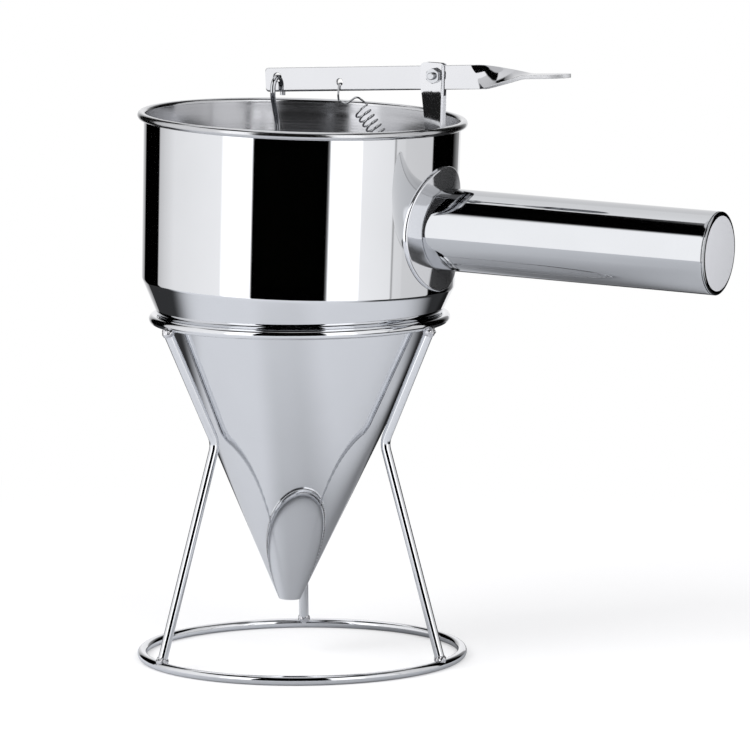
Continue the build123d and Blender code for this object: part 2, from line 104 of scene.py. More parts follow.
# Pivot and lever
PIVOT = Vector((59.904, 0.0, 244.9)) * MM
EAR_FACE = 2.0 * MM
SHEET_EDGE = 0.12 * MM
BACK_TURN = 0.3               # faces turned this far towards +X are the bracket's back
SCREW_RADIUS = 1.5 * MM
SCREW_END = 4.4 * MM
SCREW_CHAMFER = 0.3 * MM
SCREW_HEAD_RADIUS = 2.75 * MM
SCREW_HEAD_HEIGHT = 2.0 * MM
SCREW_HEAD_DOME = 1.0 * MM
NUT_EDGE = 0.1 * MM
THREAD_PITCH = 0.5 * MM
THREAD_DEPTH = 0.14 * MM
LEVER_THICKNESS = 1.6 * MM
LEVER_HEIGHT = 9.8 * MM
LEVER_RISE = 4.65
LEVER_INNER = 77.3 * MM
TWIST_RATES = [               # place along the bar and degrees a millimetre there, before scaling
    (15.6, 0.0), (15.9, 5.2), (22.3, 5.2), (23.5, 3.6), (28.0, 3.6), (30.0, 2.9), (38.5, 2.9), (42.0, 0.0),
]
TWIST_LAG = 5.0 * MM          # how much later the lower edge starts to turn
TWIST_STEPS = 72
EDGE_FACING = 0.6             # a face turned this far out of the bar's flat sides is a cut edge
PADDLE_TIP = 59.0 * MM
PADDLE_ROUND = 9.0 * MM
PIVOT_ABOVE_CENTRE = 0.9 * MM
LEVER_CORNER = 1.3 * MM
LEVER_EDGE = 0.25 * MM
LEVER_MIDDLE = -30.0 * MM     # a station halfway along the straight run
LEVER_HOLD = 0.3 * MM         # extra stations this far from a change keep the straight runs flat
LEVER_HOLES = [(0.0, 0.0, 1.56), (-71.83, 0.12, 1.85), (-43.52, -2.18, 1.45)]    # along, up, radius in mm
SIDE_MARGIN = 0.08            # the points on the bar's sides start this share of the side from a corner
SIDE_STEPS = 10
HOLE_CHAMFER = 0.15 * MM

# Edges sharper than this stay crisp, in general and on small round pieces
SMOOTH_ANGLE = 35.0
ROUND_ANGLE = 50.0

# Valve rod, as a line in millimetres with bends, and the plug
ROD_RADIUS = 1.1 * MM
ROD_POINTS = [
    (0.0, 0.0, 33.4),
    (-11.7, 0.0, 221.5),
    (-11.7, -4.5, 231.6),
    (-11.7, -4.5, 239.2),
    (-11.7, 4.5, 239.2),
    (-11.7, 4.5, 231.5),
]
ROD_BENDS = [0.0, 9.0, 9.0, 4.2, 4.2, 0.0]
PLUG_RADIUS = 6.6 * MM
PLUG_NOSE_RADIUS = 4.4 * MM
PLUG_BODY = 11.0 * MM
PLUG_EDGE = 0.8 * MM
PLUG_NOSE_EDGE = 0.2 * MM
PLUG_GAP = 0.15 * MM

# Return spring: coil, straight leads and hooks. The hooks' points are in millimetres from the lever's hole
# and the tab's.
SPRING_WIRE = 0.4 * MM
SPRING_RADIUS = 3.1 * MM
SPRING_TURNS = 13
SPRING_LEAD = 1.6 * MM
SPRING_HOLE = Vector((16.704, 0.0, 239.199)) * MM
TAB_HOLE = Vector((57.404, 0.0, 190.0)) * MM
SPRING_TOP = SPRING_HOLE + Vector((9.7, 0.0, -10.8)) * MM
SPRING_BOTTOM = TAB_HOLE + Vector((-9.9, 0.0, 15.0)) * MM
UPPER_HOOK = [
    (0.2, 1.35, -2.9), (0.0, 1.35, -0.6), (0.0, -1.35, -0.6), (-0.2, -1.35, -5.2),
    (-0.4, -0.3, -7.8), (3.0, 0.0, -8.7), (7.7, 0.0, -5.3),
]
UPPER_BENDS = [0.0, 0.9, 0.9, 1.5, 1.4, 2.5, 2.0, 0.9, 0.0]
LOWER_HOOK = [(-6.0, 0.0, 12.4), (0.0, 0.0, 6.5), (0.0, 0.0, -0.6), (-4.1, 0.0, -0.6), (-4.1, 0.0, 2.5)]
LOWER_BENDS = [0.0, 0.9, 1.6, 2.0, 1.3, 1.3, 0.0]

# Weld beads, as shares of their boxes
BEAD_SIZE = 0.86
BEAD_RELIEF = 0.14
BEAD_LUMPS = 1.7
BEAD_SPREAD = 90.0            # keeps one bead's lumps unlike the next one's

# Finishes: how fine the changes of tint are and their darkest share, how fine and deep the slow waves are,
# the depth of a brushed grain, and the heights between which the cup's shading starts to tilt
TINT_SCALE = 40.0
TINT_DARKEST = 0.94
WAVE_SCALE = 22.0
WAVINESS = 0.01 * MM
FINE_GRAIN = 0.001 * MM
FLARE_FROM = (155.0 * MM, 165.0 * MM)

# Camera: direction from the object, aim point and lens
VIEW_AZIMUTH = math.radians(26.0)
VIEW_ELEVATION = math.radians(7.664)
VIEW_DISTANCE = 2350.0 * MM
VIEW_AIM_SIDE = 30.804 * MM
VIEW_AIM_Z = 116.98 * MM
VIEW_ROLL = math.radians(-0.351)
LENS = 274.4
SENSOR = 36.0

# Soft boxes and dark gaps round the object: azimuth in degrees from +X, brightness there and just before
# the next. The ceiling and then the overhead box take over, each between two elevations.
WALL_CARDS = [
    (-180.0, 0.50, 0.60),
    (-168.0, 0.60, 0.67),
    (-122.4, 1.00, 1.00),
    (-99.3, 0.00, 0.00),
    (-43.4, 1.00, 1.00),
    (-18.9, 0.67, 0.61),
    (8.3, 0.10, 0.10),
    (9.1, 0.54, 0.52),
    (17.2, 0.18, 0.18),
    (17.8, 0.48, 0.46),
    (47.5, 0.00, 0.00),
    (80.0, 0.00, 0.25),
    (98.0, 0.58, 0.62),
    (122.0, 0.62, 0.20),
    (140.0, 0.00, 0.00),
    (170.5, 0.40, 0.50),
]
CEILING_CARDS = [
    (-180.0, 0.00, 0.00),
    (20.0, 0.10, 0.10),
    (80.0, 0.60, 0.80),
    (172.0, 0.00, 0.00),
]
CEILING_FROM = (math.radians(43.5), math.radians(49.5))
OVERHEAD_FROM = (math.radians(69), math.radians(72))
OVERHEAD_COLOR = (0.55, 0.55, 0.56, 1)
CARD_EDGE = 0.0008            # share of a whole turn on each side of a change of card
CARD_STRENGTH = 1.55
PLAIN_STRENGTH = 0.8          # even light on matt surfaces

# Lamps: name, place, size and power
LAMPS = [
    ("key", (-0.5, -0.9, 1.1), 0.8, 9.0),
    ("fill", (0.9, -0.6, 0.9), 0.9, 5.0),
]
LAMP_AIM = Vector((0.04, 0, 0.12))

# Floor: a disc that fades into white. In mirrors it shows painted shade: it darkens towards the back along
# the object's own axis, keeps one level to either side of it, and is nearly black far out and behind.
FLOOR_RADIUS = 0.55
FLOOR_FADE = (0.25, 0.5)
FLOOR_COLOR = (0.62, 0.62, 0.63, 1)
FLOOR_LIFT = (0.36, 0.36, 0.36, 1)
MIRRORED_TINT = (0.97, 0.99, 1.04)
MIRRORED_DEPTH = (-0.2, 0.15, 0.64, 0.25)    # from one Y to another, from one level to another
MIRRORED_SIDE = 0.66
AXIS_X = 0.03
AXIS_EDGE = (0.02, 0.08)                     # distances from the axis
PAINTED_SHADE = 0.95
PAINTED_SHADE_OUT = (0.21, 0.31)                     # distances from the middle
PAINTED_SHADE_BEHIND = (-0.17, -0.03)                # places on Y

# Frames of the leaned funnel and of the handle's axis in it
LEANED = (
    Matrix.Translation((0, 0, SEAT_CENTRE_Z))
    @ Matrix.Rotation(math.radians(LEAN), 4, "Y")
    @ Matrix.Translation((0, 0, -SEAT_CENTRE_Z))
)
HANDLE_FRAME = Matrix.Translation((0, 0, HANDLE_Z)) @ Matrix.Rotation(math.radians(90), 4, "Y")


# ---------------------------------------------------------------- node-tree helpers


def add(tree, kind, inputs=None, **settings):
    """A node with its settings and, by name or number, its inputs: a value or another node's socket."""
    node = tree.nodes.new(kind)
    for name, value in settings.items():
        setattr(node, name, value)
    for key, value in (inputs or {}).items():
        if isinstance(value, bpy.types.NodeSocket):
            tree.links.new(value, node.inputs[key])
        else:
            node.inputs[key].default_value = value
    return node


def math_node(tree, operation, *values):
    """The output of a Math node."""
    return add(tree, "ShaderNodeMath", dict(enumerate(values)), operation=operation).outputs[0]


def remap(tree, value, low, high, to_low=0.0, to_high=1.0, smooth=False):
    """value carried from one range to another, clamped."""
    inputs = {"Value": value, "From Min": low, "From Max": high, "To Min": to_low, "To Max": to_high}
    kind = "SMOOTHSTEP" if smooth else "LINEAR"
    return add(tree, "ShaderNodeMapRange", inputs, interpolation_type=kind, clamp=True).outputs["Result"]


def noise(tree, place, scale, detail=3.0, roughness=0.5):
    """Smooth noise, about 0.5, over a place."""
    inputs = {"Vector": place, "Scale": scale, "Detail": detail, "Roughness": roughness}
    return add(tree, "ShaderNodeTexNoise", inputs).outputs["Fac"]


def stretched(tree, place, scale):
    """Coordinates multiplied axis by axis."""
    return add(tree, "ShaderNodeMapping", {"Vector": place, "Scale": scale}).outputs["Vector"]


def new_material(name):
    """A material, its tree, its Principled shader and its Object coordinates."""
    material = bpy.data.materials.new(name)
    material.use_nodes = True
    tree = material.node_tree
    shader = tree.nodes["Principled BSDF"]
    place = add(tree, "ShaderNodeTexCoord").outputs["Object"]
    return material, tree, shader, place


def metal(
    name, color, roughness, spread, waviness=WAVINESS, scale=(1, 1, 1), grain=900.0, grain_depth=0.0,
    lean=0.0, metallic=1.0, flare=0.0,
):
    """A bare metal: polish that varies a little, a slow waviness and, if asked, a directional grain.

    flare tilts the shading of the cup's wall upwards, as the real sheet bellies out under its lip.
    """
    material, tree, shader, place = new_material(name)
    shader.inputs["Metallic"].default_value = metallic
    tint = noise(tree, place, TINT_SCALE)
    dark = tuple(TINT_DARKEST * channel for channel in color)
    mix = add(tree, "ShaderNodeMix", {"Factor": tint, "A": (*dark, 1), "B": (*color, 1)}, data_type="RGBA")
    tree.links.new(mix.outputs[2], shader.inputs["Base Color"])
    upright = add(tree, "ShaderNodeMapping", {"Vector": place, "Rotation": (0.0, math.radians(-lean), 0.0)})
    lined = stretched(tree, upright.outputs["Vector"], scale)
    lines = noise(tree, lined, grain, 4.0, 0.6)
    polish = remap(tree, lines, 0.3, 0.7, roughness, roughness + spread)
    tree.links.new(polish, shader.inputs["Roughness"])
    slow = noise(tree, place, WAVE_SCALE, 1.0)
    wave = add(tree, "ShaderNodeBump", {"Height": slow, "Strength": 1.0, "Distance": waviness})
    normal = wave.outputs["Normal"]
    if flare:
        height = add(tree, "ShaderNodeSeparateXYZ", {0: place}).outputs[2]
        wall = remap(tree, height, *FLARE_FROM, 0.0, flare)
        lift = add(tree, "ShaderNodeCombineXYZ", {"Z": wall})
        tilted = add(tree, "ShaderNodeVectorMath", {0: normal, 1: lift.outputs[0]}, operation="ADD")
        normal = add(tree, "ShaderNodeVectorMath", {0: tilted.outputs[0]}, operation="NORMALIZE").outputs[0]
    if grain_depth:
        inputs = {"Height": lines, "Strength": 1.0, "Distance": grain_depth, "Normal": normal}
        normal = add(tree, "ShaderNodeBump", inputs).outputs["Normal"]
    tree.links.new(normal, shader.inputs["Normal"])
    return material


def moulded(name):
    """White moulded plastic: a faint grain, slight changes of tint and a soft sheen."""
    material, tree, shader, place = new_material(name)
    tint = noise(tree, place, 120.0)
    mix = add(
        tree,
        "ShaderNodeMix",
        {"Factor": tint, "A": (0.86, 0.86, 0.83, 1), "B": (0.92, 0.92, 0.90, 1)},
        data_type="RGBA",
    )
    tree.links.new(mix.outputs[2], shader.inputs["Base Color"])
    grain = noise(tree, place, 2500.0)
    tree.links.new(remap(tree, grain, 0.3, 0.7, 0.38, 0.5), shader.inputs["Roughness"])
    bump = add(tree, "ShaderNodeBump", {"Height": grain, "Strength": 1.0, "Distance": 2 * WAVINESS})
    tree.links.new(bump.outputs["Normal"], shader.inputs["Normal"])
    return material


# ---------------------------------------------------------------- mesh helpers


def new_object(name, mesh, *materials):
    """A linked object for the mesh, with its materials in order."""
    piece = bpy.data.objects.new(name, mesh)
    bpy.context.scene.collection.objects.link(piece)
    for material in materials:
        mesh.materials.append(material)
    return piece


def smoothed(mesh, angle=SMOOTH_ANGLE):
    """Smooth shading, broken at edges sharper than angle."""
    mesh.shade_smooth()
    shape = bmesh.new()
    shape.from_mesh(mesh)
    for edge in shape.edges:
        edge.smooth = len(edge.link_faces) == 2 and edge.calc_face_angle(0.0) < math.radians(angle)
    shape.to_mesh(mesh)
    shape.free()
    return mesh


def grid_mesh(name, rows, close_rows=True, close_columns=True, poles=(None, None)):
    """A mesh over rows of points, joined round each way as asked, with optional end points."""
    count = len(rows[0])
    points = [point for row in rows for point in row]
    faces = []
    for i in range(len(rows) if close_rows else len(rows) - 1):
        below = (i + 1) % len(rows)
        for j in range(count if close_columns else count - 1):
            right = (j + 1) % count
            faces.append((i * count + j, i * count + right, below * count + right, below * count + j))
    for pole, row in zip(poles, (0, len(rows) - 1)):
        if pole is None:
            continue
        points.append(pole)
        for j in range(count):
            faces.append((row * count + j, row * count + (j + 1) % count, len(points) - 1))
    mesh = bpy.data.meshes.new(name)
    mesh.from_pydata(points, [], faces)
    shape = bmesh.new()
    shape.from_mesh(mesh)
    bmesh.ops.recalc_face_normals(shape, faces=shape.faces)
    shape.to_mesh(mesh)
    shape.free()
    return mesh


def held(line, margin):
    """The line with a point added a margin inside each end of every long stretch, to hold its shading."""
    points = [line[0]]
    for a, b in zip(line, line[1:]):
        run = (b - a).length
        if run > 4 * margin:
            points += [a.lerp(b, margin / run), b.lerp(a, margin / run)]
        points.append(b)
    return points


def arc(centre, radius, start, end, steps):
    """Points (radius, height) round part of a circle, by angles in degrees."""
    angles = [math.radians(start + (end - start) * i / steps) for i in range(steps + 1)]
    return [centre + radius * Vector((math.cos(a), math.sin(a))) for a in angles]


def turned(name, line, place, segments=256, closed=True, poles=(None, None)):
    """A line of (radius, height) turned about Z, then placed."""
    turns = [2 * math.pi * i / segments for i in range(segments)]
    rows = [[place @ Vector((p.x * math.cos(t), p.x * math.sin(t), p.y)) for t in turns] for p in line]
    ends = [None if height is None else place @ Vector((0, 0, height)) for height in poles]
    return grid_mesh(name, rows, close_rows=closed, poles=ends)


def copied(name, node, edge=0.0, angle=SMOOTH_ANGLE):
    """A CAD node's own shape with its triangles joined, its sharp edges eased and its curves smooth."""
    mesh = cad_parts[node].data.copy()
    mesh.name = name
    mesh.materials.clear()
    shape = bmesh.new()
    shape.from_mesh(mesh)
    bmesh.ops.remove_doubles(shape, verts=shape.verts, dist=1e-6)
    if edge:
        flat = math.radians(0.5)
        bmesh.ops.dissolve_limit(shape, angle_limit=flat, verts=shape.verts, edges=shape.edges)
        sharp = [e for e in shape.edges if e.calc_face_angle(0.0) > math.radians(angle)]
        bmesh.ops.bevel(
            shape, geom=sharp, offset=edge, segments=3, profile=0.5, affect="EDGES", clamp_overlap=True
        )
    shape.to_mesh(mesh)
    shape.free()
    if mesh.has_custom_normals:
        mesh.attributes.remove(mesh.attributes["custom_normal"])
    return smoothed(mesh, angle)


def flat_faced(piece):
    """Normals that keep the large faces flat and turn only over the eased edges."""
    weighted = piece.modifiers.new("faces", "WEIGHTED_NORMAL")
    weighted.keep_sharp = True
    weighted.weight = 100
    graph = bpy.context.evaluated_depsgraph_get()
    mesh = bpy.data.meshes.new_from_object(piece.evaluated_get(graph), depsgraph=graph)
    piece.modifiers.clear()
    mesh.name = piece.data.name + "_faced"
    piece.data = mesh
    return piece


def install(piece, body, finish, *nodes):
    """The piece rides on its body and stands for its nodes; finish is not used."""
    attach(piece, body)
    if nodes:
        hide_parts(*nodes)


# ---------------------------------------------------------------- Geometry Nodes helpers


def new_tree(name, inputs):
    """A geometry tree with named inputs after its geometry, and its input and output nodes."""
    tree = bpy.data.node_groups.new(name, "GeometryNodeTree")
    tree.interface.new_socket("Geometry", in_out="INPUT", socket_type="NodeSocketGeometry")
    for label, kind in inputs:
        tree.interface.new_socket(label, in_out="INPUT", socket_type="NodeSocket" + kind)
    tree.interface.new_socket("Geometry", in_out="OUTPUT", socket_type="NodeSocketGeometry")
    return tree, add(tree, "NodeGroupInput"), add(tree, "NodeGroupOutput")


def finish_tree(tree, end, geometry, material):
    """Realize Instances and Set Material, into the tree's output."""
    real = add(tree, "GeometryNodeRealizeInstances", {"Geometry": geometry})
    shade = add(tree, "GeometryNodeSetShadeSmooth", {"Geometry": real.outputs[0], "Shade Smooth": True})
    painted = add(tree, "GeometryNodeSetMaterial", {"Geometry": shade.outputs[0], "Material": material})
    tree.links.new(painted.outputs[0], end.inputs[0])


def grown(name, base, tree, values, material, place=None):
    """A piece with the plain mesh that the tree makes from the base data."""
    source = bpy.data.objects.new(name + "_source", base)
    bpy.context.scene.collection.objects.link(source)
    modifier = source.modifiers.new(name, "NODES")
    modifier.node_group = tree
    for item in tree.interface.items_tree:
        if item.in_out == "INPUT" and item.name in values:
            modifier[item.identifier] = values[item.name]
    graph = bpy.context.evaluated_depsgraph_get()
    mesh = bpy.data.meshes.new_from_object(source.evaluated_get(graph), depsgraph=graph)
    bpy.data.objects.remove(source)
    mesh.name = name
    if place:
        mesh.transform(place)
    mesh.materials.clear()
    return new_object(name, mesh, material)


def bent_line(name, lines):
    """A curve of straight runs; each point's radius is the bend there."""
    curve = bpy.data.curves.new(name, "CURVE")
    curve.dimensions = "3D"
    for points, bends in lines:
        spline = curve.splines.new("POLY")
        spline.points.add(len(points) - 1)
        for slot, point, bend in zip(spline.points, points, bends):
            slot.co = (*point, 1.0)
            slot.radius = bend
    return curve


def wire_tree():
    """Runs of wire with bent corners, repeated round Z."""
    inputs = [("Wire radius", "Float"), ("Copies", "Int"), ("First angle", "Float")]
    tree, start, end = new_tree("bent_wire", inputs)
    bend = add(tree, "GeometryNodeInputRadius").outputs[0]
    rounded = add(
        tree,
        "GeometryNodeFilletCurve",
        {"Curve": start.outputs["Geometry"], "Radius": bend, "Count": 16, "Limit Radius": True},
        mode="POLY",
    )
    even = add(tree, "GeometryNodeSetCurveRadius", {"Curve": rounded.outputs[0], "Radius": 1.0})
    section = add(
        tree, "GeometryNodeCurvePrimitiveCircle", {"Resolution": 32, "Radius": start.outputs["Wire radius"]}
    )
    wire = add(
        tree,
        "GeometryNodeCurveToMesh",
        {"Curve": even.outputs[0], "Profile Curve": section.outputs[0], "Fill Caps": True},
    )
    hub = add(tree, "GeometryNodePoints", {"Count": start.outputs["Copies"]})
    step = math_node(tree, "DIVIDE", 2 * math.pi, start.outputs["Copies"])
    index = add(tree, "GeometryNodeInputIndex").outputs[0]
    turn = math_node(tree, "MULTIPLY_ADD", index, step, start.outputs["First angle"])
    angles = add(tree, "ShaderNodeCombineXYZ", {"Z": turn})
    copies = add(
        tree,
        "GeometryNodeInstanceOnPoints",
        {"Points": hub.outputs[0], "Instance": wire.outputs[0], "Rotation": angles.outputs[0]},
    )
    return tree, end, copies.outputs[0]


def ring_tree():
    """A ring of wire at a height."""
    inputs = [("Ring radius", "Float"), ("Height", "Float"), ("Wire radius", "Float")]
    tree, start, end = new_tree("wire_ring", inputs)
    line = add(
        tree, "GeometryNodeCurvePrimitiveCircle", {"Resolution": 256, "Radius": start.outputs["Ring radius"]}
    )
    section = add(
        tree, "GeometryNodeCurvePrimitiveCircle", {"Resolution": 32, "Radius": start.outputs["Wire radius"]}
    )
    wire = add(
        tree, "GeometryNodeCurveToMesh", {"Curve": line.outputs[0], "Profile Curve": section.outputs[0]}
    )
    lift = add(tree, "ShaderNodeCombineXYZ", {"Z": start.outputs["Height"]})
    moved = add(tree, "GeometryNodeTransform", {"Geometry": wire.outputs[0], "Translation": lift.outputs[0]})
    return tree, end, moved.outputs[0]


def coil_tree():
    """A close coil along Z, joined end to end with the base curve's bent hooks, as one wire."""
    inputs = [("Wire radius", "Float"), ("Coil radius", "Float"), ("Turns", "Float"), ("Length", "Float")]
    tree, start, end = new_tree("spring_coil", inputs)
    bend = add(tree, "GeometryNodeInputRadius").outputs[0]
    hooks = add(
        tree,
        "GeometryNodeFilletCurve",
        {"Curve": start.outputs["Geometry"], "Radius": bend, "Count": 10, "Limit Radius": True},
        mode="POLY",
    )
    coil = add(
        tree,
        "GeometryNodeCurveSpiral",
        {
            "Resolution": 48,
            "Rotations": start.outputs["Turns"],
            "Start Radius": start.outputs["Coil radius"],
            "End Radius": start.outputs["Coil radius"],
            "Height": start.outputs["Length"],
            "Reverse": True,
        },
    )
    lines = add(tree, "GeometryNodeJoinGeometry")
    for curve in (hooks, coil):
        line = add(tree, "GeometryNodeCurveToMesh", {"Curve": curve.outputs[0]})
        tree.links.new(line.outputs[0], lines.inputs[0])
    merged = add(tree, "GeometryNodeMergeByDistance", {"Geometry": lines.outputs[0], "Distance": 2e-6})
    single = add(tree, "GeometryNodeMeshToCurve", {"Mesh": merged.outputs[0]})
    even = add(tree, "GeometryNodeSetCurveRadius", {"Curve": single.outputs[0], "Radius": 1.0})
    section = add(
        tree, "GeometryNodeCurvePrimitiveCircle", {"Resolution": 14, "Radius": start.outputs["Wire radius"]}
    )
    wire = add(
        tree,
        "GeometryNodeCurveToMesh",
        {"Curve": even.outputs[0], "Profile Curve": section.outputs[0], "Fill Caps": True},
    )
    return tree, end, wire.outputs[0]


# ---------------------------------------------------------------- funnel


def shell_corner(inset):
    """Where the cone and cup lines meet, both moved inward by inset, as (radius, height)."""
    slope = math.tan(CONE_HALF_ANGLE)
    cone_shift = inset / math.cos(CONE_HALF_ANGLE)
    cup_start = CUP_FOOT_RADIUS - CUP_TAPER * CUP_FOOT_Z - inset
    height = (cup_start + CONE_APEX_Z * slope + cone_shift) / (slope - CUP_TAPER)
    return Vector((cup_start + CUP_TAPER * height, height))


def shell_side(inset, fillet):
    """Tip, rounded shoulder and lip end of one face of the sheet."""
    corner = shell_corner(inset)
    tip_z = CONE_APEX_Z + OUTLET_RADIUS / math.tan(CONE_HALF_ANGLE)
    tip_radius = (tip_z - CONE_APEX_Z) * math.tan(CONE_HALF_ANGLE) - inset / math.cos(CONE_HALF_ANGLE)
    tip = Vector((tip_radius, tip_z))
    top = Vector((CUP_TOP_RADIUS - inset, LIP_Z))
    down = (tip - corner).normalized()
    up = (top - corner).normalized()
    half = down.angle(up) / 2
    centre = corner + (down + up).normalized() * fillet / math.sin(half)
    foot = corner + down * fillet / math.tan(half) - centre
    head = corner + up * fillet / math.tan(half) - centre
    start = math.degrees(math.atan2(foot.y, foot.x))
    end = math.degrees(math.atan2(head.y, head.x))
    return [tip] + arc(centre, fillet, start, end, 10) + [top]


def funnel(outside, inside, lip):
    """The spun shell with its rolled lip: polished outside, left brushed inside, duller on the roll."""
    roll = Vector((CUP_TOP_RADIUS - SHEET + LIP_ROLL_RADIUS, LIP_Z))
    outer = held(shell_side(0.0, SHOULDER_FILLET), margin=0.5 * MM)
    under = arc(roll, LIP_ROLL_RADIUS - SHEET, 180.0, LIP_ROLL_END, 24)[1:]
    over = arc(roll, LIP_ROLL_RADIUS, LIP_ROLL_END, 180.0, 40)
    inner = held(shell_side(SHEET, SHOULDER_FILLET - SHEET), margin=0.5 * MM)[::-1][1:]
    mesh = turned("funnel", outer + under + over + inner, LEANED)
    smoothed(mesh)
    piece = new_object("funnel", mesh, outside, inside, lip)
    first_inner = len(outer) + len(under) + len(over) - 1
    rows = len(outer) + len(under) + len(over) + len(inner)
    around = len(mesh.polygons) // rows
    for face in mesh.polygons:
        row = face.index // around
        if first_inner <= row < rows - 1:
            face.material_index = 1
        elif len(outer) - 1 <= row < first_inner:
            face.material_index = 2
    install(piece, "funnel", "polished_steel", "funnel_shell")


def on_cup(radius, turn, lift):
    """A point at a distance and angle from the handle's axis, lifted off the cup's wall."""
    y = radius * math.sin(turn)
    z = HANDLE_Z + radius * math.cos(turn)
    wall = CUP_FOOT_RADIUS + CUP_TAPER * (z - CUP_FOOT_Z) + lift
    return LEANED @ Vector((math.sqrt(wall**2 - y**2), y, z))


def flange(steel):
    """Saddle plate with a rounded rim, flat up to the tube's root."""
    rim = arc(
        Vector((FLANGE_RADIUS - FLANGE_EDGE, FLANGE_THICKNESS - FLANGE_EDGE)), FLANGE_EDGE, 0.0, 90.0, 8
    )
    inner = HANDLE_RADIUS - 2 * HANDLE_SHEET
    line = [Vector((inner, 0)), Vector((FLANGE_RADIUS, 0))] + rim + [Vector((inner, FLANGE_THICKNESS))]
    line = held(line, margin=0.2 * MM)
    turns = [2 * math.pi * i / 160 for i in range(160)]
    mesh = grid_mesh("handle_saddle", [[on_cup(p.x, t, p.y) for t in turns] for p in line])
    piece = new_object("handle_saddle", smoothed(mesh, ROUND_ANGLE), steel)
    install(piece, "funnel", "polished_steel", "handle_flange")


def tube(steel):
    """The handle's tube, its rounded root resting on the saddle plate."""
    turns = [2 * math.pi * i / 192 for i in range(192)]
    bore = HANDLE_RADIUS - HANDLE_SHEET
    rows = [[on_cup(bore, t, FLANGE_THICKNESS) for t in turns]]
    for p in arc(Vector((HANDLE_RADIUS - TUBE_EDGE, TUBE_EDGE)), TUBE_EDGE, -90.0, 0.0, 5):
        rows.append([on_cup(p.x, t, FLANGE_THICKNESS + p.y) for t in turns])

    def circle(radius, x):
        return [
            LEANED @ Vector((x, radius * math.sin(t), HANDLE_Z + radius * math.cos(t))) for t in turns
        ]

    near = rows[-1]
    far = circle(HANDLE_RADIUS, HANDLE_END_X - TUBE_EDGE)
    rows += [[a.lerp(b, s) for a, b in zip(near, far)] for s in (0.01, 0.3, 0.6, 0.99)]
    for p in arc(Vector((HANDLE_RADIUS - TUBE_EDGE, HANDLE_END_X - TUBE_EDGE)), TUBE_EDGE, 0.0, 90.0, 5):
        rows.append(circle(p.x, p.y))
    rows.append(circle(bore, HANDLE_END_X))
    piece = new_object("handle_tube_polished", smoothed(grid_mesh("handle_tube_polished", rows)), steel)
    install(piece, "funnel", "polished_steel", "handle_tube")


def end_cap(face_steel, edge_steel):
    """Domed disc with a flattened round corner and a groove where it meets the tube."""
    reach = HANDLE_RADIUS - CAP_CORNER.x
    sphere = (HANDLE_RADIUS**2 + CAP_DOME**2) / (2 * CAP_DOME)
    dome = []
    for i in range(1, 13):
        radius = reach * i / 12
        dome.append(Vector((radius, CAP_CROWN_X - sphere + math.sqrt(sphere**2 - radius**2))))
    edge = dome[-1].y
    quarter = arc(Vector((0, 0)), 1.0, 90.0, 0.0, 14)[1:]
    corner = [Vector((reach + p.x * CAP_CORNER.x, edge - (1 - p.y) * CAP_CORNER.y)) for p in quarter]
    groove = [
        Vector((HANDLE_RADIUS, HANDLE_END_X + CAP_GROOVE)),
        Vector((HANDLE_RADIUS - CAP_GROOVE, HANDLE_END_X + CAP_GROOVE)),
        Vector((HANDLE_RADIUS - CAP_GROOVE, HANDLE_END_X - CAP_GROOVE)),
        Vector((HANDLE_RADIUS - 2 * HANDLE_SHEET, HANDLE_END_X - CAP_GROOVE)),
    ]
    line = held(dome + corner + groove, margin=0.15 * MM)
    poles = (CAP_CROWN_X, HANDLE_END_X - CAP_GROOVE)
    mesh = turned("handle_cap", line, LEANED @ HANDLE_FRAME, 192, closed=False, poles=poles)
    face_rim = LEANED @ HANDLE_FRAME @ Vector((0, 0, edge))
    axis = (LEANED @ HANDLE_FRAME).to_3x3() @ Vector((0, 0, 1))
    for face in mesh.polygons:
        face.material_index = 1 if (face.center - face_rim).dot(axis) < -CAP_FACE_END else 0
    piece = new_object("handle_cap", smoothed(mesh), face_steel, edge_steel)
    install(piece, "funnel", "polished_steel", "handle_end_cap")


# ---------------------------------------------------------------- lever and small parts


def bar_place():
    """From the bar's own axes, along it and up from the pivot, to the object's."""
    return LEANED @ Matrix.Translation(PIVOT) @ Matrix.Rotation(math.radians(-LEVER_RISE), 4, "Y")


def bar_section(reach):
    """Rounded oblong section that reaches so far up and down, with points along its sides for the twist."""
    half = LEVER_THICKNESS / 2
    edge = min(LEVER_EDGE, reach)
    corners = []
    for corner, (side, top) in enumerate(((1, 1), (-1, 1), (-1, -1), (1, -1))):
        centre = Vector((side * (half - LEVER_EDGE), top * (reach - edge)))
        round_off = arc(Vector((0, 0)), 1.0, 90.0 * corner, 90.0 * corner + 90.0, 4)
        corners.append([centre + Vector((p.x * LEVER_EDGE, p.y * edge)) for p in round_off])
    shares = [SIDE_MARGIN + (1 - 2 * SIDE_MARGIN) * i / SIDE_STEPS for i in range(SIDE_STEPS + 1)]
    points = []
    for here, following in zip(corners, corners[1:] + corners[:1]):
        points += here + [here[-1].lerp(following[0], share) for share in shares]
    return points


def half_width(x):
    """Half the bar's width at a place along it, with rounded corners inside and an elliptical tip."""
    half = LEVER_HEIGHT / 2
    inner = x + LEVER_INNER
    outer = PADDLE_TIP - x
    if inner < LEVER_CORNER:
        return half - LEVER_CORNER + math.sqrt(LEVER_CORNER**2 - (LEVER_CORNER - inner) ** 2)
    if outer < PADDLE_ROUND:
        return half * math.sqrt(1 - (1 - outer / PADDLE_ROUND) ** 2)
    return half


